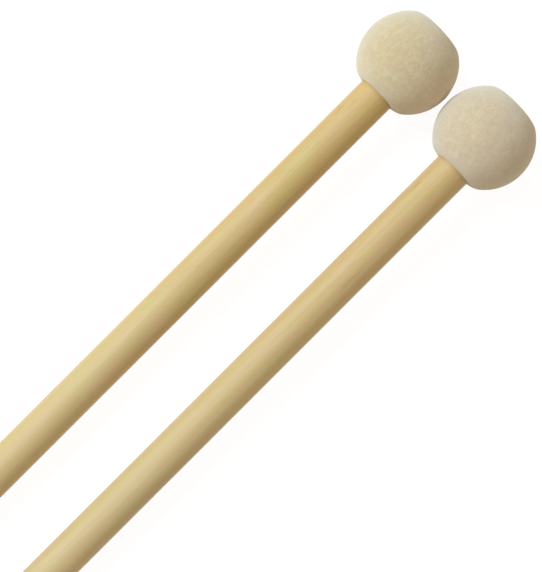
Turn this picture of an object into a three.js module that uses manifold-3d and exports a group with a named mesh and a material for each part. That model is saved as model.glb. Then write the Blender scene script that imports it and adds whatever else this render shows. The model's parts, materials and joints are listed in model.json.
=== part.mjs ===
// A matched pair of felt-headed bass drum mallets, lying side by side on a table.
//
// Each mallet is a turned wooden shaft whose end is cut down to a tenon. A wooden core, turned like
// a bobbin, slides over the tenon and lands on the shaft's shoulder. The felt head is moulded round
// that core and has the shape of a ball with a flat underside and a flat tip. A screw in the end of
// the tenon draws a washer down on the core and the felt, and a felt plug closes the recess above it.
//
// Millimetres, +Z up, the heads at +X. The origin lies on the table under the middle of the pair.

import * as THREE from 'three';
import { mergeVertices } from 'three/addons/utils/BufferGeometryUtils.js';
import Module from 'manifold-3d';

// Shaft
const shaftDiameter = 19;
const shaftLength = 340; // from the butt face to the shoulder under the head
const buttRounding = 3;
const shoulderChamfer = 0.3;

// Tenon at the end of the shaft, ringed with glue grooves
const tenonDiameter = 13;
const tenonShortfall = 1; // the tenon stops this far below the core's top, so the washer clears it
const tenonChamfer = 1;
const glueGrooveCount = 3;
const glueGrooveWidth = 2;
const glueGrooveDepth = 0.6;

// Felt head
const headDiameter = 50;
const undersideCut = 4.3; // how much of the ball its flat underside takes away
const tipCut = 4; // how much of the ball its flat tip takes away
const feltEdgeRounding = 7; // softens the edge of each flat
const recessDiameter = 21.6; // the hole in the tip, for the washer and the plug
const recessDepth = 9.6; // from the tip down to the top of the core

// Core inside the head, a bobbin with keying grooves that the felt is moulded into
const coreBarrelDiameter = 25;
const coreNeckInset = 0.8; // the neck stays this far inside the edge of the shaft's shoulder
const coreNeckHeight = 2.5;
const keyGrooveCount = 2;
const keyGrooveDepth = 1.2;

// Washer, screw and plug at the tip
const washerInset = 0.8; // between the washer's rim and the wall of the recess
const washerThickness = 1.5;
const washerChamfer = 0.3;
const screwShankDiameter = 4;
const screwShankLength = 26;
const screwPointLength = 4;
const screwHoleMargin = 0.6; // round the shank where it passes the washer
const screwHeadDiameter = 8.4;
const screwHeadHeight = 2.8;
const screwHeadCrown = 0.8; // how much of the head's height is domed
const crossSlotSpan = 4.8;
const crossSlotWidth = 1.1;
const crossSlotDepth = 1.5;
const plugEdgeRounding = 0.6;

// Fits and layout
const clearance = 0.3; // between every two pieces that touch on the real mallet
const headGap = 1.9; // between the two heads as they lie
const cutOverrun = 1; // how far a cut runs past the face that it opens

// Facets
const roundSegments = 40;
const coreSegments = 32;
const screwSegments = 24;
const ballSteps = 16;
const roundingSteps = 4;

// Radii, and places along a mallet measured from the butt face
const shaftRadius = shaftDiameter / 2;
const ballRadius = headDiameter / 2;
const recessRadius = recessDiameter / 2;
const undersideDrop = ballRadius - undersideCut;
const tipRise = ballRadius - tipCut;
const headBase = shaftLength + clearance;
const ballCentre = headBase + undersideDrop;
const tipFace = ballCentre + tipRise;
const coreTop = tipFace - recessDepth;
const tenonEnd = coreTop - tenonShortfall;
const washerBase = coreTop + clearance;
const washerTop = washerBase + washerThickness;
const screwSeat = washerTop + clearance;

const materials = {
  shaftWood: new THREE.MeshStandardMaterial({ color: '#dcc593', roughness: 0.38, metalness: 0 }),
  coreWood: new THREE.MeshStandardMaterial({ color: '#c9a878', roughness: 0.7, metalness: 0 }),
  felt: new THREE.MeshStandardMaterial({ color: '#ddd2b6', roughness: 0.95, metalness: 0 }),
  steel: new THREE.MeshStandardMaterial({ color: '#b9bcc0', roughness: 0.35, metalness: 1 }),
};

// A point of a profile: its distance from the mallet's axis and its place along it.
const at = (radius, place) => new THREE.Vector2(radius, place);

// Points along an arc of a profile. Angles start at the outward direction and grow towards the tip.
function arc(centre, radius, from, to, steps) {
  return Array.from({ length: steps + 1 }, (_, i) => {
    const angle = from + ((to - from) * i) / steps;
    return at(centre.x + radius * Math.cos(angle), centre.y + radius * Math.sin(angle));
  });
}

// Turns a profile that leaves the axis at its lower end and comes back to it at its upper end.
const turned = (profile, segments) => new THREE.LatheGeometry(profile, segments);

// Turns a ring from a profile that goes up its outside and down its inside.
const turnedRing = (outside, inside, segments) =>
  turned([...outside, ...inside, outside[0].clone()], segments);

const wasm = await Module();
wasm.setup();

function toSolid(geometry) {
  const bare = geometry.clone();
  bare.deleteAttribute('normal');
  bare.deleteAttribute('uv');
  const merged = mergeVertices(bare);
  return new wasm.Manifold(
    new wasm.Mesh({
      numProp: 3,
      vertProperties: new Float32Array(merged.attributes.position.array),
      triVerts: new Uint32Array(merged.index.array),
    }),
  );
}

function toGeometry(solid) {
  const mesh = solid.getMesh();
  const geometry = new THREE.BufferGeometry();
  geometry.setAttribute('position', new THREE.BufferAttribute(mesh.vertProperties, 3));
  geometry.setIndex(new THREE.BufferAttribute(mesh.triVerts, 1));
  geometry.computeVertexNormals();
  return geometry;
}

// The dowel with its rounded butt, square shoulder, grooved tenon and the pilot hole for the screw.
function shaftGeometry() {
  const tenonRadius = tenonDiameter / 2;
  const pilotRadius = screwShankDiameter / 2 + clearance;
  const pilotBottom = screwSeat - screwShankLength - clearance;
  const groovePitch = (tenonEnd - shaftLength) / (glueGrooveCount + 1);
  const grooves = Array.from({ length: glueGrooveCount }, (_, i) => {
    const middle = shaftLength + (i + 1) * groovePitch;
    const mouth = glueGrooveWidth / 2;
    const floor = mouth - glueGrooveDepth;
    return [
      at(tenonRadius, middle - mouth),
      at(tenonRadius - glueGrooveDepth, middle - floor),
      at(tenonRadius - glueGrooveDepth, middle + floor),
      at(tenonRadius, middle + mouth),
    ];
  }).flat();
  const buttCorner = at(shaftRadius - buttRounding, buttRounding);
  return turned(
    [
      at(0, 0),
      ...arc(buttCorner, buttRounding, -Math.PI / 2, 0, roundingSteps),
      at(shaftRadius, shaftLength - shoulderChamfer),
      at(shaftRadius - shoulderChamfer, shaftLength),
      at(tenonRadius, shaftLength),
      ...grooves,
      at(tenonRadius, tenonEnd - tenonChamfer),
      at(tenonRadius - tenonChamfer, tenonEnd),
      at(pilotRadius, tenonEnd),
      at(pilotRadius, pilotBottom),
      at(0, pilotBottom - pilotRadius),
    ],
    roundSegments,
  );
}

// The bobbin's outline from its base to its top, necked at both ends and grooved round its barrel.
function coreOutline(margin) {
  const neck = shaftRadius - coreNeckInset + margin;
  const barrel = coreBarrelDiameter / 2 + margin;
  const flank = barrel - neck;
  const barrelBase = headBase + coreNeckHeight + flank;
  const barrelTop = coreTop - coreNeckHeight - flank;
  const groovePitch = (barrelTop - barrelBase) / (keyGrooveCount + 1);
  const grooves = Array.from({ length: keyGrooveCount }, (_, i) => {
    const place = barrelBase + (i + 1) * groovePitch;
    return [
      at(barrel, place - keyGrooveDepth),
      at(barrel - keyGrooveDepth, place),
      at(barrel, place + keyGrooveDepth),
    ];
  }).flat();
  return [
    at(neck, headBase),
    at(neck, headBase + coreNeckHeight),
    at(barrel, barrelBase),
    ...grooves,
    at(barrel, barrelTop),
    at(neck, coreTop - coreNeckHeight),
    at(neck, coreTop),
  ];
}

function coreGeometry() {
  const bore = tenonDiameter / 2 + clearance;
  return turnedRing(coreOutline(0), [at(bore, coreTop), at(bore, headBase)], coreSegments);
}

// The rounding between a flat and the ball: where its centre lies, and the angle at which it meets
// the ball. It touches the ball from inside, so its centre is one rounding short of the ball's radius.
function flatRounding(flatDistance) {
  const reach = ballRadius - feltEdgeRounding;
  const height = flatDistance - feltEdgeRounding;
  return { radius: Math.sqrt(reach ** 2 - height ** 2), height, angle: Math.asin(height / reach) };
}

// The ball with its two flats, hollow where the core, the washer and the plug sit.
function feltHeadGeometry() {
  const under = flatRounding(undersideDrop);
  const tip = flatRounding(tipRise);
  const underCorner = at(under.radius, ballCentre - under.height);
  const tipCorner = at(tip.radius, ballCentre + tip.height);
  const outside = [
    ...arc(underCorner, feltEdgeRounding, -Math.PI / 2, -under.angle, roundingSteps),
    ...arc(at(0, ballCentre), ballRadius, -under.angle, tip.angle, ballSteps).slice(1, -1),
    ...arc(tipCorner, feltEdgeRounding, tip.angle, Math.PI / 2, roundingSteps),
  ];
  const inside = [
    at(recessRadius, tipFace),
    at(recessRadius, coreTop),
    ...coreOutline(clearance).reverse(),
  ];
  return turnedRing(outside, inside, roundSegments);
}

function washerGeometry() {
  const outer = recessRadius - washerInset;
  const hole = screwShankDiameter / 2 + screwHoleMargin;
  return turnedRing(
    [
      at(outer - washerChamfer, washerBase),
      at(outer, washerBase + washerChamfer),
      at(outer, washerTop - washerChamfer),
      at(outer - washerChamfer, washerTop),
    ],
    [at(hole, washerTop), at(hole, washerBase)],
    coreSegments,
  );
}

// A pan-head screw with a cross slot, its thread left plain.
function screwGeometry() {
  const shank = screwShankDiameter / 2;
  const head = screwHeadDiameter / 2;
  const point = screwSeat - screwShankLength;
  const headTop = screwSeat + screwHeadHeight;
  const blank = turned(
    [
      at(0, point),
      at(shank, point + screwPointLength),
      at(shank, screwSeat),
      at(head, screwSeat),
      at(head, headTop - screwHeadCrown),
      at(head - screwHeadCrown, headTop),
      at(0, headTop),
    ],
    screwSegments,
  );
  const slot = new THREE.BoxGeometry(crossSlotSpan, crossSlotDepth + cutOverrun, crossSlotWidth);
  slot.translate(0, headTop + (cutOverrun - crossSlotDepth) / 2, 0);
  const crossing = slot.clone().rotateY(Math.PI / 2);
  return toGeometry(toSolid(blank).subtract(toSolid(slot)).subtract(toSolid(crossing)));
}

// The felt disc that closes the tip, hollowed below so that it clears the screw's head.
function plugGeometry() {
  const outer = recessRadius - clearance;
  const pocket = screwHeadDiameter / 2 + clearance;
  const base = washerTop + clearance;
  const pocketTop = screwSeat + screwHeadHeight + clearance;
  const edge = at(outer - plugEdgeRounding, tipFace - plugEdgeRounding);
  return turned(
    [
      at(0, pocketTop),
      at(pocket, pocketTop),
      at(pocket, base),
      at(outer, base),
      ...arc(edge, plugEdgeRounding, 0, Math.PI / 2, roundingSteps),
      at(0, tipFace),
    ],
    coreSegments,
  );
}

const pieces = [
  { name: 'shaft', geometry: shaftGeometry(), material: materials.shaftWood },
  { name: 'core', geometry: coreGeometry(), material: materials.coreWood },
  { name: 'felt_head', geometry: feltHeadGeometry(), material: materials.felt },
  { name: 'washer', geometry: washerGeometry(), material: materials.steel },
  { name: 'screw', geometry: screwGeometry(), material: materials.steel },
  { name: 'felt_plug', geometry: plugGeometry(), material: materials.felt },
];

function mallet(side) {
  const group = new THREE.Group();
  for (const { name, geometry, material } of pieces) {
    const mesh = new THREE.Mesh(geometry, material);
    mesh.name = `${side}_${name}`;
    group.add(mesh);
  }
  return group;
}

// A mallet on a table touches it with its ball and with the rounded edge of its butt, which raises
// the head end by this angle.
const rimPlace = ballCentre - buttRounding;
const rimRadius = shaftRadius - buttRounding;
const restTilt =
  Math.asin((ballRadius - buttRounding) / Math.hypot(rimPlace, rimRadius)) -
  Math.atan2(rimRadius, rimPlace);

const pair = new THREE.Group();
for (const [side, direction] of [['left', 1], ['right', -1]]) {
  const group = mallet(side);
  group.rotation.set(0, -restTilt, -Math.PI / 2);
  group.position.y = (direction * (headDiameter + headGap)) / 2;
  pair.add(group);
}

// Stands the pair on the table and centres it over the origin.
pair.updateMatrixWorld(true);
const extent = new THREE.Box3().setFromObject(pair, true);
const middle = extent.getCenter(new THREE.Vector3());
pair.position.set(-middle.x, 0, -extent.min.z);

export default pair;
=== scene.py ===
import json
import math
import bpy
import numpy as np
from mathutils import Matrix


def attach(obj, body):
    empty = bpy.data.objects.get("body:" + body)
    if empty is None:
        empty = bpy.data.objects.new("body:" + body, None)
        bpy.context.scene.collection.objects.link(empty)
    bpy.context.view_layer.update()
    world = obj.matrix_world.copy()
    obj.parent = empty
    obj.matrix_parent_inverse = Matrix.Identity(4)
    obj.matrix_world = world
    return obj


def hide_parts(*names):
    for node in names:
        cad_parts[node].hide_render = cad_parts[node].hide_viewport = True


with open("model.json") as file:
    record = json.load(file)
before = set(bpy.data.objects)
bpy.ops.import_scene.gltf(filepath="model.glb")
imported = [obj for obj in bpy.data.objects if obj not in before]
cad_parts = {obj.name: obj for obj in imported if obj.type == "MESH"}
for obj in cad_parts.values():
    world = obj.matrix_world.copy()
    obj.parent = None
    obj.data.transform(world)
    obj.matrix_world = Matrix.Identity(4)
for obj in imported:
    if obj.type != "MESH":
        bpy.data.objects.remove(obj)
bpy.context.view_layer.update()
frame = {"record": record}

sides = ("left", "right")


# Turns an sRGB hex value such as "#D4BB83" into linear red, green, blue and alpha.
def linear(hexValue):
    channels = [int(hexValue[i:i + 2], 16) / 255 for i in (1, 3, 5)]
    return tuple(c / 12.92 if c <= 0.04045 else ((c + 0.055) / 1.055) ** 2.4 for c in channels) + (1.0,)


# Adds one node. Settings are its own properties; inputs are values, or sockets to link from.
def addNode(tree, kind, inputs=None, **settings):
    node = tree.nodes.new(kind)
    for name, value in settings.items():
        setattr(node, name, value)
    for key, value in (inputs or {}).items():
        if isinstance(value, bpy.types.NodeSocket):
            tree.links.new(value, node.inputs[key])
        else:
            node.inputs[key].default_value = value
    return node


# Noise and wave scales are repeats per metre: one feature of this many millimetres.
def perFeature(millimetres):
    return 1000.0 / millimetres


def newMaterial(name):
    material = bpy.data.materials.new(name)
    material.use_nodes = True
    material.node_tree.nodes.clear()
    return material, material.node_tree


def grey(level):
    return (level, level, level, 1.0)


def setRamp(node, stops):
    ramp = node.color_ramp
    for place, colour in stops[1:-1]:
        ramp.elements.new(place)
    for element, (place, colour) in zip(ramp.elements, stops):
        element.position = place
        element.color = colour


# Camera: a long lens straight above the pair, turned 45 degrees, fitted to the photo's outlines
camera = {
    "place": (0.005729, -0.060431, 0.883134),
    "turn": (0.08006, 0.01261, -0.78324),
    "lens": 113.113,
    "sensor": 36.0,
}
cameraData = bpy.data.cameras.new("studio_camera")
cameraData.lens = camera["lens"]
cameraData.sensor_width = camera["sensor"]
cameraObject = bpy.data.objects.new("studio_camera", cameraData)
cameraObject.location = camera["place"]
cameraObject.rotation_euler = camera["turn"]
bpy.context.scene.collection.objects.link(cameraObject)
bpy.context.scene.camera = cameraObject
bpy.context.scene.view_settings.view_transform = "Standard"
print("camera placed")


# Where each mallet lies: the middle of its butt face, the direction to its tip, and two more across it
def malletFrame(side):
    mount = next(m for m in frame["record"]["mounts"] if m["name"] == side + "_butt_face")
    along = -np.array(mount["axis"], float)
    along /= np.linalg.norm(along)
    across = np.array([0.0, 1.0, 0.0])
    return {
        "butt": np.array(mount["pos_m"], float) * 1000,
        "along": along,
        "across": across,
        "up": np.cross(along, across),
        "tilt": math.atan2(along[2], along[0]),
    }


lie = {side: malletFrame(side) for side in sides}

# Sizes that several pieces share
mallet = {
    "shaftDiameter": 19.0,
    "shaftLength": 340.0,
    "tenonDiameter": 13.0,
    "headBase": 340.3,
    "ballCentre": 361.0,
    "tipFace": 382.0,
    "coreTop": 372.4,
    "washerBase": 372.7,
    "washerTop": 374.2,
    "screwSeat": 374.5,
    "clearance": 0.3,
}


# A point of a profile is (distance from the axis, place along it).
# arc: the centre plus a radius turned from one angle to another; 0 points outward, 90 to the tip.
def arc(centre, radius, start, end, steps):
    angle = np.radians(np.linspace(start, end, steps))
    return np.stack([centre[0] + radius * np.cos(angle), centre[1] + radius * np.sin(angle)], axis=1)


# Cuts each straight run of a profile into even steps no longer than the given one.
def stepped(profile, step):
    points = np.asarray(profile, float)
    runs = [
        np.linspace(a, b, max(2, math.ceil(np.linalg.norm(b - a) / step) + 1))[:-1]
        for a, b in zip(points[:-1], points[1:])
    ]
    return np.concatenate(runs + [points[-1:]])


# Outward direction of each profile row: its tangent, taken between the neighbours, turned clockwise.
def outward(profile):
    tangent = np.roll(profile, -1, axis=0) - np.roll(profile, 1, axis=0)
    normal = np.stack([tangent[:, 1], -tangent[:, 0]], axis=1)
    return normal / np.maximum(np.linalg.norm(normal, axis=1, keepdims=True), 1e-9)


# Carries a profile round a mallet: row i, column j is butt + along * place(i)
# + radius(i) * (across * cos(a) + up * sin(a)), with a = 2 pi j / columns, all in millimetres.
def turnedGrid(profile, columns, spot):
    angle = np.linspace(0, 2 * math.pi, columns, endpoint=False)
    spoke = np.cos(angle)[:, None] * spot["across"] + np.sin(angle)[:, None] * spot["up"]
    return (
        spot["butt"]
        + profile[:, 1, None, None] * spot["along"]
        + profile[:, 0, None, None] * spoke[None, :, :]
    )


# Quads between neighbouring rows and columns. Columns always close; rows close for a ring.
def gridQuads(rows, columns, ring):
    row = np.arange(rows if ring else rows - 1)[:, None]
    column = np.arange(columns)[None, :]
    above, beside = (row + 1) % rows, (column + 1) % columns
    quads = [
        row * columns + column, row * columns + beside,
        above * columns + beside, above * columns + column]
    return np.stack(quads, axis=-1).reshape(-1, 4)


# Makes the object, shades it smooth except at sharp corners, and puts it on its mallet's body.
def newPiece(name, points, faces, material, side, sharpAngle=35.0):
    mesh = bpy.data.meshes.new(name)
    mesh.from_pydata((np.asarray(points) / 1000).tolist(), [], faces)
    mesh.materials.append(material)
    mesh.shade_smooth()
    mesh.set_sharp_from_angle(angle=math.radians(sharpAngle))
    piece = bpy.data.objects.new(name, mesh)
    bpy.context.scene.collection.objects.link(piece)
    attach(piece, side + "_mallet")
    return piece


# A closed turned solid. A ring's rows join up; any other profile runs from pole to pole on the axis.
def turnedPiece(name, profile, columns, material, side, ring=False, grid=None):
    profile = np.asarray(profile, float)
    spot = lie[side]
    if grid is None:
        grid = turnedGrid(profile if ring else profile[1:-1], columns, spot)
    rows = len(grid)
    points = grid.reshape(-1, 3)
    faces = gridQuads(rows, columns, ring).tolist()
    if not ring:
        poles = spot["butt"] + profile[[0, -1], 1, None] * spot["along"]
        points = np.concatenate([points, poles])
        here = np.arange(columns)
        beside = (here + 1) % columns
        first, last = len(points) - 2, len(points) - 1
        lastRow = (rows - 1) * columns
        faces += np.stack([np.full(columns, first), beside, here], axis=1).tolist()
        faces += np.stack([np.full(columns, last), lastRow + here, lastRow + beside], axis=1).tolist()
    return newPiece(name, points, faces, material, side)


# Soft random lumps: the sum of many plane waves, each with its own direction, phase and wavelength
# between the two sizes, scaled to about -1 to 1.
def lumps(points, shortest, longest, seed, waves=56):
    draw = np.random.default_rng(seed)
    direction = draw.normal(size=(waves, 3))
    direction /= np.linalg.norm(direction, axis=1, keepdims=True)
    wavelength = draw.uniform(shortest, longest, waves)
    phase = draw.uniform(0, 2 * math.pi, waves)
    angle = points @ (direction / wavelength[:, None]).T * 2 * math.pi + phase
    return np.cos(angle).sum(axis=-1) / math.sqrt(waves)


# Wool felt, wet-moulded and pressed hard: a matt cream mat of fine fibres. The sheen is the haze of
# fibre ends at its edges, the patches are wool of uneven colour, the mottling is the matted fibres, and
# the strands are the longest fibres, which lie over one another in every direction.
# A real fibre is 0.03 mm thick and would not show: the mat is drawn at 0.9 mm, the strands 0.15 mm wide.
felt = {
    "wool": {"left": "#D7B26F", "right": "#D9B688"},
    "patches": (
        {"colour": "#D9AB84", "size": 7.0, "start": 0.50, "full": 0.74, "share": 0.36},
        {"colour": "#CABD80", "size": 5.2, "start": 0.52, "full": 0.76, "share": 0.40},
        {"colour": "#F1DFB6", "size": 3.8, "start": 0.50, "full": 0.78, "share": 0.38},
        {"colour": "#A98D56", "size": 2.6, "start": 0.50, "full": 0.80, "share": 0.31},
    ),
    "patchDetail": 2.0,
    "patchBend": 0.5,
    "patchApart": 0.07,
    "fibreSize": 0.9,
    "fibreDetail": 4.0,
    "fibreBend": 1.2,
    "fibreShade": 0.11,
    "strands": (
        {"size": 2.6, "stretch": 4.0, "turn": (0.4, 1.1, 0.2)},
        {"size": 2.2, "stretch": 4.5, "turn": (1.3, 0.3, 0.9)},
        {"size": 1.9, "stretch": 4.0, "turn": (0.7, 0.6, 1.9)},
    ),
    "strandBend": 0.8,
    "strandWidth": 0.022,
    "strandColour": "#EFDDB4",
    "strandShare": 0.17,
    "strandHeight": 0.22,
    "bumpDistance": 0.05,
    "roughness": 0.95,
    "specular": 0.15,
    "sheen": 1.0,
    "sheenRoughness": 0.85,
    "offset": {"left": (0.0, 0.0, 0.0), "right": (0.31, 0.17, 0.23)},
}


def feltMaterial(side):
    material, tree = newMaterial(side + "_pressed_wool_felt")
    place = addNode(tree, "ShaderNodeTexCoord").outputs["Object"]
    colour = linear(felt["wool"][side])
    for i, patch in enumerate(felt["patches"]):
        apart = tuple(c + felt["patchApart"] * (i + 1) for c in felt["offset"][side])
        spot = addNode(tree, "ShaderNodeMapping", {"Vector": place, "Location": apart}).outputs["Vector"]
        noise = addNode(tree, "ShaderNodeTexNoise", {
            "Vector": spot, "Scale": perFeature(patch["size"]), "Detail": felt["patchDetail"],
            "Distortion": felt["patchBend"]})
        share = addNode(tree, "ShaderNodeMapRange", {
            "Value": noise.outputs["Fac"], "From Min": patch["start"], "From Max": patch["full"],
            "To Max": patch["share"]})
        colour = addNode(tree, "ShaderNodeMix", {
            0: share.outputs[0], 6: colour, 7: linear(patch["colour"])}, data_type="RGBA").outputs[2]
    fibre = addNode(tree, "ShaderNodeTexNoise", {
        "Vector": place, "Scale": perFeature(felt["fibreSize"]), "Detail": felt["fibreDetail"],
        "Roughness": 0.6, "Distortion": felt["fibreBend"]})
    light = addNode(tree, "ShaderNodeMapRange", {
        "Value": fibre.outputs["Fac"], "From Min": 0.25, "From Max": 0.75,
        "To Min": 1 - felt["fibreShade"], "To Max": 1 + felt["fibreShade"]}).outputs[0]
    matted = addNode(tree, "ShaderNodeVectorMath", {
        0: colour, "Scale": light}, operation="SCALE").outputs[0]
    height = fibre.outputs["Fac"]
    for strand in felt["strands"]:
        spot = addNode(tree, "ShaderNodeMapping", {
            "Vector": place, "Rotation": strand["turn"], "Scale": (1 / strand["stretch"], 1.0, 1.0)})
        noise = addNode(tree, "ShaderNodeTexNoise", {
            "Vector": spot.outputs["Vector"], "Scale": perFeature(strand["size"]), "Detail": 1.0,
            "Distortion": felt["strandBend"]}).outputs["Fac"]
        onStrand = addNode(tree, "ShaderNodeMath", {
            0: noise, 1: 0.5, 2: felt["strandWidth"]}, operation="COMPARE").outputs[0]
        share = addNode(tree, "ShaderNodeMath", {
            0: onStrand, 1: felt["strandShare"]}, operation="MULTIPLY").outputs[0]
        matted = addNode(tree, "ShaderNodeMix", {
            0: share, 6: matted, 7: linear(felt["strandColour"])}, data_type="RGBA").outputs[2]
        height = addNode(tree, "ShaderNodeMath", {
            0: onStrand, 1: felt["strandHeight"], 2: height}, operation="MULTIPLY_ADD").outputs[0]
    bump = addNode(tree, "ShaderNodeBump", {
        "Height": height, "Distance": felt["bumpDistance"] / 1000, "Strength": 1.0})
    shader = addNode(tree, "ShaderNodeBsdfPrincipled", {
        "Base Color": matted, "Normal": bump.outputs["Normal"], "Roughness": felt["roughness"],
        "Specular IOR Level": felt["specular"], "Sheen Weight": felt["sheen"],
        "Sheen Roughness": felt["sheenRoughness"], "Sheen Tint": linear("#FFFFFF")})
    addNode(tree, "ShaderNodeOutputMaterial", {"Surface": shader.outputs[0]})
    return material


# Felt head: a ball with a flat underside and a flat tip, moulded round the core, open at the tip
head = {
    "ballDiameter": 50.0,
    "undersideCut": 4.3,
    "tipCut": 4.0,
    "edgeRounding": 7.0,
    "recessDiameter": 21.6,
    "mouthRounding": 0.5,
    "lipDrop": 0.58,
    "lipReach": 4.5,
    "lipGap": 0.08,
    "neckDiameter": 17.4,
    "barrelDiameter": 25.0,
    "neckHeight": 2.5,
    "keyGrooves": 2,
    "keyGrooveDepth": 1.2,
    "rowStep": 0.36,
    "wallStep": 4.0,
    "edgeRows": 7,
    "mouthRows": 5,
    "columns": 352,
    "lumpHeight": 0.06,
    "lumpSizes": (7.0, 16.0),
    "grainHeight": 0.012,
    "grainSizes": (1.3, 2.6),
    "settle": 0.05,
    "smoothRows": 8,
    "fadeRows": 10,
    "lean": {"left": 1.3, "right": 1.6},
    "seed": {"left": 11, "right": 29},
}


# The bobbin-shaped core's outline from its base to its top, grown outward by a margin.
def coreOutline(margin):
    neck = head["neckDiameter"] / 2 + margin
    barrel = head["barrelDiameter"] / 2 + margin
    base, top = mallet["headBase"], mallet["coreTop"]
    barrelBase = base + head["neckHeight"] + barrel - neck
    barrelTop = top - head["neckHeight"] - barrel + neck
    depth = head["keyGrooveDepth"]
    pitch = (barrelTop - barrelBase) / (head["keyGrooves"] + 1)
    outline = [(neck, base), (neck, base + head["neckHeight"]), (barrel, barrelBase)]
    for i in range(head["keyGrooves"]):
        place = barrelBase + (i + 1) * pitch
        outline += [(barrel, place - depth), (barrel - depth, place), (barrel, place + depth)]
    return outline + [(barrel, barrelTop), (neck, top - head["neckHeight"]), (neck, top)]


# The head's outside from the shaft's hole to the recess, then its inside back down. A flat's rounding
# touches the ball from inside, so its centre lies one rounding short of the ball's radius. The felt
# laps a little over the shaft's shoulder: it drops by the lip's drop times a cosine step of the radius.
def headProfile():
    ball, rounding = head["ballDiameter"] / 2, head["edgeRounding"]
    centre, base, tip = mallet["ballCentre"], mallet["headBase"], mallet["tipFace"]
    reach = ball - rounding
    low, high = ball - head["undersideCut"] - rounding, ball - head["tipCut"] - rounding
    lowAngle, highAngle = math.degrees(math.asin(low / reach)), math.degrees(math.asin(high / reach))
    lowRadius, highRadius = math.sqrt(reach ** 2 - low ** 2), math.sqrt(reach ** 2 - high ** 2)
    mouth = head["recessDiameter"] / 2 + head["mouthRounding"]
    shaftRadius = mallet["shaftDiameter"] / 2
    lap = shaftRadius + head["lipGap"]
    inside = [(lap, base - head["lipDrop"]), (lap, base)] + coreOutline(mallet["clearance"])
    outside = np.concatenate([
        stepped([(lap, base), (lowRadius, base)], head["rowStep"] / 2)[:-1],
        arc((lowRadius, centre - low), rounding, -90, -lowAngle, head["edgeRows"])[:-1],
        arc((0, centre), ball, -lowAngle, highAngle, round(2 * ball / head["rowStep"]))[:-1],
        arc((highRadius, centre + high), rounding, highAngle, 90, head["edgeRows"])[:-1],
        stepped([(highRadius, tip), (mouth, tip)], head["rowStep"])[:-1],
        arc((mouth, tip - head["mouthRounding"]), head["mouthRounding"], 90, 180, head["mouthRows"]),
    ])
    pastShaft = np.clip((outside[:, 0] - lap) / head["lipReach"], 0, 1)
    under = outside[:, 1] < centre
    outside[under, 1] -= head["lipDrop"] * (0.5 + 0.5 * np.cos(math.pi * pastShaft[under]))
    well = [outside[-1], (head["recessDiameter"] / 2, mallet["coreTop"])] + inside[::-1]
    return outside, np.concatenate([outside, stepped(well, head["wallStep"])[1:-1]])


# The tip was pressed a little out of square: each point moves along the mallet by its distance across
# times the lean's tangent, in full at the tip and less and less down to the middle of the ball.
def leaned(grid, side):
    offset = grid - lie[side]["butt"]
    middle = mallet["ballCentre"]
    share = np.clip((offset @ lie[side]["along"] - middle) / (mallet["tipFace"] - middle), 0, 1)
    move = math.tan(math.radians(head["lean"][side])) * (offset @ lie[side]["across"]) * share ** 2
    return grid + move[..., None] * lie[side]["along"]


# The ball's outside moves along its outward direction by its lumps, less the settle that keeps it
# inside the ball's size. They fade out over a few rows at both holes.
def makeHead(side):
    outside, profile = headProfile()
    grid = turnedGrid(profile, head["columns"], lie[side])
    normal = outward(profile)
    spread = {**lie[side], "butt": np.zeros(3)}
    direction = turnedGrid(normal, head["columns"], spread)
    rowPlace = np.arange(len(profile))
    fromHole = np.minimum(rowPlace, len(outside) - head["smoothRows"] - rowPlace)
    fade = np.clip(fromHole / head["fadeRows"], 0, 1)
    points = grid - lie[side]["butt"]
    seed = head["seed"][side]
    height = head["lumpHeight"] * lumps(points, *head["lumpSizes"], seed)
    height += head["grainHeight"] * lumps(points, *head["grainSizes"], seed + 1)
    grid = leaned(grid + direction * (fade[:, None] * (height - head["settle"]))[:, :, None], side)
    piece = turnedPiece(
        side + "_moulded_felt_ball", profile, head["columns"], feltMaterials[side], side,
        ring=True, grid=grid)
    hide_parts(side + "_felt_head")
    return piece


feltMaterials = {side: feltMaterial(side) for side in sides}
for side in sides:
    makeHead(side)
print("felt heads moulded")

# Felt plug: the die-cut disc that closes the recess, hollow below to clear the screw's head
plug = {
    "edgeRounding": 0.6,
    "pocketDiameter": 9.0,
    "pocketTop": 377.6,
    "crown": 0.25,
    "columns": 160,
    "rowStep": 0.5,
    "wallStep": 3.0,
    "edgeRows": 7,
    "lumpHeight": 0.05,
    "lumpSizes": (1.6, 4.0),
    "lumpSink": 0.8,
    "fadeRows": 3,
    "seed": 5,
}


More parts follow.
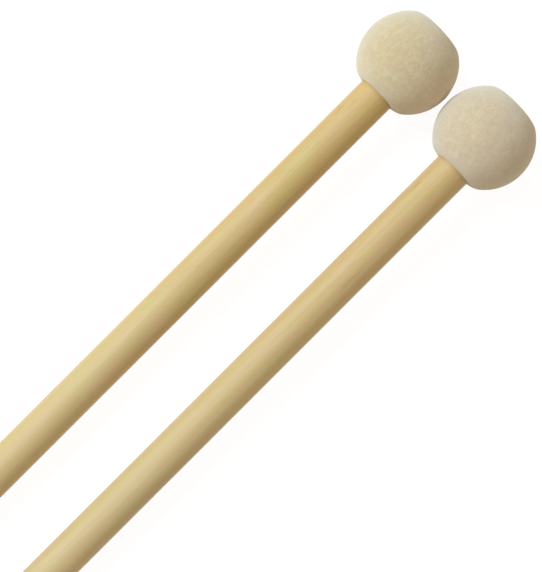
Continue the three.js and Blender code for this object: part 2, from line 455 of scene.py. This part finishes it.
# The top is a shallow dome: it falls by the crown times the square of radius / outer radius. Its
# lumps are sunk, so that they stay under the crown, and fade out over a few rows at its rim.
def makePlug(side):
    outer = head["recessDiameter"] / 2 - mallet["clearance"]
    base = mallet["washerTop"] + mallet["clearance"]
    tip, rounding = mallet["tipFace"], plug["edgeRounding"]
    pocket = plug["pocketDiameter"] / 2
    rim = tip - plug["crown"]
    wall = [(0, plug["pocketTop"]), (pocket, plug["pocketTop"]), (pocket, base), (outer, base)]
    corner = arc((outer - rounding, rim - rounding), rounding, 0, 90, plug["edgeRows"])
    topRadius = np.linspace(outer - rounding, 0, round(outer / plug["rowStep"]))[1:]
    topPlace = tip - plug["crown"] * (topRadius / outer) ** 2
    top = np.stack([topRadius, topPlace], axis=1)
    profile = np.concatenate([stepped(wall + [corner[0]], plug["wallStep"])[:-1], corner, top])
    rows = profile[1:-1]
    grid = turnedGrid(rows, plug["columns"], lie[side])
    fade = np.clip((np.arange(len(rows)) - len(rows) + len(top)) / plug["fadeRows"], 0, 1)
    height = lumps(grid - lie[side]["butt"], *plug["lumpSizes"], plug["seed"]) - plug["lumpSink"]
    height *= plug["lumpHeight"]
    grid = leaned(grid + (fade[:, None] * height)[:, :, None] * lie[side]["along"], side)
    piece = turnedPiece(
        side + "_die_cut_felt_plug", profile, plug["columns"], feltMaterials[side], side, grid=grid)
    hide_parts(side + "_felt_plug")
    return piece


for side in sides:
    makePlug(side)
print("felt plugs cut")

# Woods. The long patterns run down the mallet: soft bands of colour, fine streaks and short dark
# pores, each stretched along the grain, which slopes a degree or so to the axis. The rings are
# counted from the pith of the tree, which lies outside the piece, and show on the side as broad faint
# arches and at the butt, which soaks up more lacquer and is darker, as arcs. A darker band is painted
# shade in the corner under the head, where the felt shades the shaft, and the dowel is paler towards its
# butt. Each mark fades in from one place along the mallet to another, and a fleck is a short darker
# orange streak: where it lies along, across and up from the butt, and its reach.
shaftWood = {
    "colour": {"left": "#DAB575", "right": "#DAB67E"},
    "bands": (
        {"colour": "#E0B888", "size": 7.0, "stretch": 3.2, "start": 0.46, "full": 0.74, "share": 0.60},
        {"colour": "#D2BE6F", "size": 6.0, "stretch": 3.6, "start": 0.47, "full": 0.75, "share": 0.62},
        {"colour": "#F0D9A8", "size": 2.4, "stretch": 26.0, "start": 0.50, "full": 0.80, "share": 0.32},
        {"colour": "#CBA468", "size": 1.5, "stretch": 40.0, "start": 0.53, "full": 0.82, "share": 0.32},
        {"colour": "#CFA060", "size": 3.0, "stretch": 4.5, "start": 0.67, "full": 0.80, "share": 0.60},
        {"colour": "#A67C45", "size": 0.5, "stretch": 16.0, "start": 0.62, "full": 0.82, "share": 0.40},
    ),
    "bandDetail": 2.0,
    "bandApart": 0.09,
    "late": "#B98D4E",
    "lateRise": ((0.0, 0.0), (0.5, 0.2), (0.85, 1.0), (1.0, 0.0)),
    "lateShare": {"end": 0.60, "side": 0.09},
    "ringSpacing": 4.3,
    "wobble": 0.8,
    "wobbleSize": 14.0,
    "wobbleStretch": 10.0,
    "pith": {"left": (0.0, 0.046, 0.058), "right": (0.0, -0.038, 0.071)},
    "offset": {"left": (0.0, 0.0, 0.0), "right": (0.37, 0.21, 0.13)},
    "roughness": 0.65,
    "specular": 0.2,
    "coat": 1.0,
    "coatRoughness": 0.6,
    "bumpDistance": 0.02,
    "bumpStrength": 0.5,
    "grainSlope": 1.1,
    "marks": (
        {"colour": "#E2CD9E", "from": 320.0, "to": 100.0, "share": 0.38},
        # painted shade: the shaft darkened in the corner under the head, where the felt shades it
        {"colour": "#84744C", "from": 337.0, "to": 340.0, "share": 0.30},
        {"colour": "#B98F52", "from": 1.8, "to": 0.0, "share": 0.45},
    ),
    "flecks": (
        {"colour": "#C08444", "place": (321.5, 6.7, 6.7), "reach": (3.4, 0.7, 0.9), "share": 0.50},
        {"colour": "#C08444", "place": (318.4, 6.1, 7.3), "reach": (2.2, 0.5, 0.7), "share": 0.35},
    ),
    "endReach": 1.8,
}


def woodMaterial(name, side, wood):
    material, tree = newMaterial(side + name)
    spot = lie[side]
    place = addNode(tree, "ShaderNodeTexCoord").outputs["Object"]
    inMallet = addNode(tree, "ShaderNodeMapping", {
        "Vector": place, "Location": tuple(spot["butt"] / 1000), "Rotation": (0.0, -spot["tilt"], 0.0)},
        vector_type="TEXTURE").outputs["Vector"]
    sloped = addNode(tree, "ShaderNodeMapping", {
        "Vector": inMallet, "Rotation": (0.0, 0.0, math.radians(wood["grainSlope"]))}).outputs["Vector"]
    colour = linear(wood["colour"][side])
    for i, band in enumerate(wood["bands"]):
        apart = tuple(c + wood["bandApart"] * i for c in wood["offset"][side])
        long = addNode(tree, "ShaderNodeMapping", {
            "Vector": sloped, "Location": apart,
            "Scale": (1 / band["stretch"], 1.0, 1.0)}).outputs["Vector"]
        noise = addNode(tree, "ShaderNodeTexNoise", {
            "Vector": long, "Scale": perFeature(band["size"]),
            "Detail": wood["bandDetail"]}).outputs["Fac"]
        share = addNode(tree, "ShaderNodeMapRange", {
            "Value": noise, "From Min": band["start"], "From Max": band["full"],
            "To Max": band["share"]}).outputs[0]
        colour = addNode(tree, "ShaderNodeMix", {
            0: share, 6: colour, 7: linear(band["colour"])}, data_type="RGBA").outputs[2]
    fromPith = addNode(tree, "ShaderNodeMapping", {
        "Vector": inMallet, "Location": wood["pith"][side], "Scale": (0.0, 1.0, 1.0)}).outputs["Vector"]
    distance = addNode(tree, "ShaderNodeVectorMath", {0: fromPith}, operation="LENGTH").outputs["Value"]
    slow = addNode(tree, "ShaderNodeMapping", {
        "Vector": inMallet, "Location": wood["offset"][side],
        "Scale": (1 / wood["wobbleStretch"], 1.0, 1.0)}).outputs["Vector"]
    wobble = addNode(tree, "ShaderNodeTexNoise", {
        "Vector": slow, "Scale": perFeature(wood["wobbleSize"]), "Detail": 1.0}).outputs["Fac"]
    wobbled = addNode(tree, "ShaderNodeMath", {
        0: wobble, 1: wood["wobble"]}, operation="MULTIPLY").outputs[0]
    rings = addNode(tree, "ShaderNodeMath", {
        0: distance, 1: perFeature(wood["ringSpacing"]), 2: wobbled}, operation="MULTIPLY_ADD").outputs[0]
    phase = addNode(tree, "ShaderNodeMath", {0: rings}, operation="FRACT").outputs[0]
    late = addNode(tree, "ShaderNodeValToRGB", {"Fac": phase})
    setRamp(late, [(start, grey(level)) for start, level in wood["lateRise"]])
    fromButt = addNode(tree, "ShaderNodeSeparateXYZ", {0: inMallet}).outputs["X"]
    most = addNode(tree, "ShaderNodeMapRange", {
        "Value": fromButt, "From Max": wood["endReach"] / 1000, "To Min": wood["lateShare"]["end"],
        "To Max": wood["lateShare"]["side"]}).outputs[0]
    lateShare = addNode(tree, "ShaderNodeMath", {
        0: late.outputs["Color"], 1: most}, operation="MULTIPLY").outputs[0]
    colour = addNode(tree, "ShaderNodeMix", {
        0: lateShare, 6: colour, 7: linear(wood["late"])}, data_type="RGBA").outputs[2]
    for mark in wood["marks"]:
        share = addNode(tree, "ShaderNodeMapRange", {
            "Value": fromButt, "From Min": mark["from"] / 1000, "From Max": mark["to"] / 1000,
            "To Max": mark["share"]}, interpolation_type="SMOOTHSTEP").outputs[0]
        colour = addNode(tree, "ShaderNodeMix", {
            0: share, 6: colour, 7: linear(mark["colour"])}, data_type="RGBA").outputs[2]
    for fleck in wood["flecks"]:
        inFleck = addNode(tree, "ShaderNodeMapping", {
            "Vector": inMallet, "Location": tuple(c / 1000 for c in fleck["place"]),
            "Scale": tuple(c / 1000 for c in fleck["reach"])}, vector_type="TEXTURE").outputs["Vector"]
        away = addNode(tree, "ShaderNodeVectorMath", {0: inFleck}, operation="LENGTH").outputs["Value"]
        share = addNode(tree, "ShaderNodeMapRange", {
            "Value": away, "From Min": 1.0, "From Max": 0.0, "To Max": fleck["share"]}).outputs[0]
        colour = addNode(tree, "ShaderNodeMix", {
            0: share, 6: colour, 7: linear(fleck["colour"])}, data_type="RGBA").outputs[2]
    bump = addNode(tree, "ShaderNodeBump", {
        "Height": noise, "Distance": wood["bumpDistance"] / 1000,
        "Strength": wood["bumpStrength"]}, invert=True)
    shader = addNode(tree, "ShaderNodeBsdfPrincipled", {
        "Base Color": colour, "Normal": bump.outputs["Normal"], "Roughness": wood["roughness"],
        "Specular IOR Level": wood["specular"], "Coat Weight": wood["coat"],
        "Coat Roughness": wood["coatRoughness"]})
    addNode(tree, "ShaderNodeOutputMaterial", {"Surface": shader.outputs[0]})
    return material


# Shaft: a straight dowel, rounded at the butt, cut down to a grooved tenon with a pilot hole
shaft = {
    "buttRounding": 3.0,
    "shoulderChamfer": 0.3,
    "tenonEnd": 371.4,
    "tenonChamfer": 1.0,
    "grooves": 3,
    "grooveWidth": 2.0,
    "grooveDepth": 0.6,
    "pilotDiameter": 4.6,
    "pilotBottom": 348.2,
    "faceRows": 8,
    "edgeRows": 13,
    "rowStep": 8.0,
    "columns": 128,
}


# The shaft's outside from the butt's middle to the tenon's end, then the pilot hole's wall and, at its
# bottom, the drill's cone, whose depth is the hole's radius.
def shaftProfile():
    radius, length, rounding = mallet["shaftDiameter"] / 2, mallet["shaftLength"], shaft["buttRounding"]
    tenon, end, bevel = mallet["tenonDiameter"] / 2, shaft["tenonEnd"], shaft["tenonChamfer"]
    chamfer, pilot, depth = shaft["shoulderChamfer"], shaft["pilotDiameter"] / 2, shaft["grooveDepth"]
    pitch = (end - length) / (shaft["grooves"] + 1)
    half = shaft["grooveWidth"] / 2
    body = [(radius, length - chamfer), (radius - chamfer, length), (tenon, length)]
    for i in range(shaft["grooves"]):
        middle = length + (i + 1) * pitch
        body += [
            (tenon, middle - half), (tenon - depth, middle - half + depth),
            (tenon - depth, middle + half - depth), (tenon, middle + half)]
    body += [(tenon, end - bevel), (tenon - bevel, end), (pilot, end), (pilot, shaft["pilotBottom"])]
    butt = arc((radius - rounding, rounding), rounding, -90, 0, shaft["edgeRows"])
    face = np.linspace((0.0, 0.0), butt[0], shaft["faceRows"])[:-1]
    wall = stepped([butt[-1]] + body, shaft["rowStep"])
    return np.concatenate([face, butt[:-1], wall, [(0.0, shaft["pilotBottom"] - pilot)]])


for side in sides:
    wood = woodMaterial("_lacquered_pale_hardwood", side, shaftWood)
    piece = turnedPiece(side + "_turned_shaft", shaftProfile(), shaft["columns"], wood, side)
    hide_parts(side + "_shaft")
print("shafts turned")

# Core: a bobbin turned from plain hardwood and left bare, so it is matt, with fine tool marks
# round it. The marks are drawn 0.7 mm apart, coarser than a real tool leaves them, so that they show.
coreWood = {
    "colour": {"left": "#C9A878", "right": "#C4A272"},
    "bands": (
        {"colour": "#B98F5F", "size": 3.0, "stretch": 9.0, "start": 0.48, "full": 0.76, "share": 0.50},
        {"colour": "#D8BD90", "size": 1.6, "stretch": 14.0, "start": 0.52, "full": 0.80, "share": 0.50},
        {"colour": "#8F6A40", "size": 0.5, "stretch": 6.0, "start": 0.60, "full": 0.80, "share": 0.45},
    ),
    "bandDetail": 2.0,
    "bandApart": 0.09,
    "late": "#A97F4F",
    "lateRise": ((0.0, 0.0), (0.5, 0.2), (0.85, 1.0), (1.0, 0.0)),
    "lateShare": {"end": 0.35, "side": 0.35},
    "ringSpacing": 2.4,
    "wobble": 0.8,
    "wobbleSize": 12.0,
    "wobbleStretch": 10.0,
    "pith": {"left": (0.0, 0.021, 0.034), "right": (0.0, -0.027, 0.024)},
    "offset": {"left": (0.11, 0.05, 0.02), "right": (0.23, 0.14, 0.08)},
    "roughness": 0.75,
    "specular": 0.2,
    "coat": 0.0,
    "coatRoughness": 0.5,
    "bumpDistance": 0.05,
    "bumpStrength": 0.5,
    "grainSlope": 2.0,
    "marks": (),
    "flecks": (),
    "endReach": 1.8,
}
core = {
    "columns": 144,
    "outlineStep": 0.15,
    "endStep": 0.6,
    "boreStep": 4.0,
    "boreRadius": 6.8,
    "markHeight": 0.025,
    "markSpacing": 0.7,
}


# Tool marks: the radius swings by the mark height times the sine of 2 pi place / spacing.
def makeCore(side):
    outline = stepped(coreOutline(0), core["outlineStep"])
    marks = core["markHeight"] * np.sin(2 * math.pi * outline[:, 1] / core["markSpacing"])
    outline[1:-1, 0] -= core["markHeight"] - marks[1:-1]
    bore = [(core["boreRadius"], mallet["coreTop"]), (core["boreRadius"], mallet["headBase"])]
    top = stepped([tuple(outline[-1]), bore[0]], core["endStep"])[1:]
    base = stepped([bore[1], tuple(outline[0])], core["endStep"])[1:-1]
    profile = np.concatenate([outline, top, stepped(bore, core["boreStep"])[1:], base])
    wood = woodMaterial("_bare_turned_hardwood", side, coreWood)
    piece = turnedPiece(
        side + "_turned_core", profile, core["columns"], wood, side, ring=True)
    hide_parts(side + "_core")
    return piece


for side in sides:
    makeCore(side)
print("cores turned")

# Zinc-plated steel: a cool grey metal under a thin passivated skin, so its polish is uneven in
# patches, and barrel plating has left it full of tiny dents.
zinc = {
    "metal": "#C3C7CB",
    "dull": "#A9ADAF",
    "patchSize": 3.0,
    "patchDetail": 3.0,
    "dentSize": 0.5,
    "dentDetail": 2.0,
    "bumpDistance": 0.01,
    "bumpStrength": 0.6,
    "roughness": 0.34,
}


def zincMaterial():
    material, tree = newMaterial("zinc_plated_steel")
    place = addNode(tree, "ShaderNodeTexCoord").outputs["Object"]
    patch = addNode(tree, "ShaderNodeTexNoise", {
        "Vector": place, "Scale": perFeature(zinc["patchSize"]), "Detail": zinc["patchDetail"]})
    colour = addNode(tree, "ShaderNodeMix", {
        0: patch.outputs["Fac"], 6: linear(zinc["metal"]), 7: linear(zinc["dull"])}, data_type="RGBA")
    dent = addNode(tree, "ShaderNodeTexNoise", {
        "Vector": place, "Scale": perFeature(zinc["dentSize"]), "Detail": zinc["dentDetail"]})
    bump = addNode(tree, "ShaderNodeBump", {
        "Height": dent.outputs["Fac"], "Distance": zinc["bumpDistance"] / 1000,
        "Strength": zinc["bumpStrength"]})
    shader = addNode(tree, "ShaderNodeBsdfPrincipled", {
        "Base Color": colour.outputs[2], "Normal": bump.outputs["Normal"], "Metallic": 1.0,
        "Roughness": zinc["roughness"]})
    addNode(tree, "ShaderNodeOutputMaterial", {"Surface": shader.outputs[0]})
    return material


zincSteel = zincMaterial()

# Washer: a punched ring, its rims rolled round by the punch
washer = {
    "outerRadius": 10.0,
    "holeRadius": 2.6,
    "rim": 0.3,
    "rimRows": 6,
    "columns": 128,
}


# A rectangle's section with four rounded corners, turned round the mallet.
def makeWasher(side):
    outer, hole, rim, rows = (washer[key] for key in ("outerRadius", "holeRadius", "rim", "rimRows"))
    base, top = mallet["washerBase"], mallet["washerTop"]
    profile = np.concatenate([
        arc((outer - rim, base + rim), rim, -90, 0, rows),
        arc((outer - rim, top - rim), rim, 0, 90, rows),
        arc((hole + rim, top - rim), rim, 90, 180, rows),
        arc((hole + rim, base + rim), rim, 180, 270, rows)])
    piece = turnedPiece(
        side + "_zinc_washer", profile, washer["columns"], zincSteel, side, ring=True)
    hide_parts(side + "_washer")
    return piece


# Screw: a pan-head wood screw with a cross recess and a rolled thread
screw = {
    "length": 26.0,
    "pointLength": 4.0,
    "crestRadius": 2.0,
    "rootRadius": 1.4,
    "pitch": 1.8,
    "crestShare": 0.16,
    "plainLength": 3.5,
    "headRadius": 4.2,
    "headHeight": 2.8,
    "headCrown": 0.8,
    "headRim": 0.2,
    "recessSpan": 4.8,
    "recessWidth": 1.1,
    "recessDepth": 1.5,
    "wall": 0.12,
    "pointShare": 0.02,
    "columns": 96,
    "rowStep": 0.1,
    "faceRows": 63,
    "crownRows": 9,
    "rimRows": 4,
}


# The thread: with t the share of a pitch from the nearest crest, found from place - pitch * a / 2 pi,
# the radius falls evenly from the crest to the root until t is 0.5 less the crest's share. It runs
# out to the plain shank above and shrinks with the point below, whose end keeps a small share of the
# radius. The recess: two crossed slots, their depth eased over the wall's thickness.
def makeScrew(side):
    seat, point = mallet["screwSeat"], mallet["screwSeat"] - screw["length"]
    top = seat + screw["headHeight"]
    crown, wide, rim = screw["headCrown"], screw["headRadius"], screw["headRim"]
    shank = np.arange(point, seat, screw["rowStep"])
    flatTop = wide - crown
    faceRows = screw["faceRows"]
    face = np.stack([np.linspace(flatTop, 0, faceRows + 1)[1:], np.full(faceRows, top)], axis=1)
    profile = np.concatenate([
        np.stack([np.full(len(shank), screw["crestRadius"]), shank], axis=1),
        [(screw["crestRadius"], seat), (wide - rim, seat)],
        arc((wide - rim, seat + rim), rim, -90, 0, screw["rimRows"])[1:],
        arc((flatTop, top - crown), crown, 0, 90, screw["crownRows"]), face])
    grid = turnedGrid(profile[1:-1], screw["columns"], lie[side])
    angle = np.linspace(0, 2 * math.pi, screw["columns"], endpoint=False)
    place = profile[1:-1, 1][:, None]
    turns = (place - screw["pitch"] * angle / (2 * math.pi)) / screw["pitch"]
    fromCrest = np.abs(turns - np.round(turns))
    fall = np.clip((fromCrest - screw["crestShare"] / 2) / (0.5 - screw["crestShare"]), 0, 1)
    runOut = np.clip((seat - screw["plainLength"] - place) / screw["pitch"], 0, 1)
    depth = (screw["crestRadius"] - screw["rootRadius"]) * fall * runOut
    taper = np.clip((place - point) / screw["pointLength"], screw["pointShare"], 1)
    onShank = np.arange(len(place)) < len(shank) - 1
    radius = np.where(onShank[:, None], (screw["crestRadius"] - depth) * taper, profile[1:-1, 0][:, None])
    spoke = np.cos(angle)[:, None] * lie[side]["across"] + np.sin(angle)[:, None] * lie[side]["up"]
    u, v = np.abs(radius * np.cos(angle)), np.abs(radius * np.sin(angle))
    arm, half, wall = screw["recessSpan"] / 2, screw["recessWidth"] / 2, screw["wall"]
    slotA = np.clip((arm - u) / wall, 0, 1) * np.clip((half - v) / wall, 0, 1)
    slotB = np.clip((arm - v) / wall, 0, 1) * np.clip((half - u) / wall, 0, 1)
    onFace = (np.arange(len(place)) > len(place) - faceRows)[:, None]
    sunk = np.where(onFace, screw["recessDepth"] * np.maximum(slotA, slotB), 0)
    grid = (
        lie[side]["butt"] + (place - sunk)[:, :, None] * lie[side]["along"]
        + radius[:, :, None] * spoke[None, :, :])
    profile[0], profile[-1] = (0, point), (0, top - screw["recessDepth"])
    piece = turnedPiece(
        side + "_threaded_screw", profile, screw["columns"], zincSteel, side, grid=grid)
    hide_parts(side + "_screw")
    return piece


for side in sides:
    makeWasher(side)
    makeScrew(side)
print("washers and screws made")

# Floor: plain pale paper. The camera and reflections see it white, and it keeps a faint shadow.
studio = {
    "floorSize": 6.0,
    "paper": "#EDDCB8",
    "paperSeen": "#F4F4F4",
    "whiteShare": 0.80,
    "floorWhite": 1.16,
    "ambient": 0.335,
    "ambientTint": (1.14, 1.05, 0.86, 1.0),
    "keyLevel": 0.715,
    "keyTint": (0.86, 1.05, 1.14),
    "keyDistance": 2.2,
    "keySize": 1.3,
    "keyTurn": 42.0,
    "keySwing": 6.0,
}


def whiteRays(tree):
    path = addNode(tree, "ShaderNodeLightPath")
    seen = addNode(tree, "ShaderNodeMath", {
        0: path.outputs["Is Camera Ray"], 1: path.outputs["Is Glossy Ray"]}, operation="MAXIMUM")
    return addNode(tree, "ShaderNodeMath", {
        0: seen.outputs[0], 1: path.outputs["Is Transmission Ray"]}, operation="MAXIMUM").outputs[0]


material, tree = newMaterial("pale_studio_paper")
seen = whiteRays(tree)
tone = addNode(tree, "ShaderNodeMix", {
    0: seen, 6: linear(studio["paper"]), 7: linear(studio["paperSeen"])}, data_type="RGBA")
paper = addNode(tree, "ShaderNodeBsdfDiffuse", {"Color": tone.outputs[2]})
glow = addNode(tree, "ShaderNodeEmission", {"Strength": studio["floorWhite"]})
share = addNode(tree, "ShaderNodeMath", {0: seen, 1: studio["whiteShare"]}, operation="MULTIPLY")
mixed = addNode(tree, "ShaderNodeMixShader", {
    0: share.outputs[0], 1: paper.outputs[0], 2: glow.outputs[0]})
addNode(tree, "ShaderNodeOutputMaterial", {"Surface": mixed.outputs[0]})
half = studio["floorSize"] / 2
floorMesh = bpy.data.meshes.new("studio_floor")
corners = [(-half, -half, 0), (half, -half, 0), (half, half, 0), (-half, half, 0)]
floorMesh.from_pydata(corners, [], [(0, 1, 2, 3)])
floorMesh.materials.append(material)
floor = bpy.data.objects.new("studio_floor", floorMesh)
bpy.context.scene.collection.objects.link(floor)

world = bpy.data.worlds.new("studio_surround")
world.use_nodes = True
world.node_tree.nodes.clear()
surround = addNode(world.node_tree, "ShaderNodeBackground", {
    "Color": studio["ambientTint"], "Strength": studio["ambient"]})
white = addNode(world.node_tree, "ShaderNodeBackground", {"Color": linear("#FFFFFF"), "Strength": 1.0})
chosen = addNode(world.node_tree, "ShaderNodeMixShader", {
    0: whiteRays(world.node_tree), 1: surround.outputs[0], 2: white.outputs[0]})
addNode(world.node_tree, "ShaderNodeOutputWorld", {"Surface": chosen.outputs[0]})
bpy.context.scene.world = world

# Key: a large round soft box on the left mallet's side. At distance d, a level of 1 needs pi^2 d^2 watts.
keyData = bpy.data.lights.new("key_softbox", "AREA")
keyData.shape = "DISK"
keyData.size = studio["keySize"]
keyData.color = studio["keyTint"]
keyData.energy = studio["keyLevel"] * (math.pi * studio["keyDistance"]) ** 2
key = bpy.data.objects.new("key_softbox", keyData)
turn, swing = math.radians(studio["keyTurn"]), math.radians(studio["keySwing"])
key.location = (
    -studio["keyDistance"] * math.sin(turn) * math.sin(swing),
    studio["keyDistance"] * math.sin(turn) * math.cos(swing),
    studio["keyDistance"] * math.cos(turn))
key.rotation_euler = (-turn, 0.0, swing)
bpy.context.scene.collection.objects.link(key)
print("studio lit")
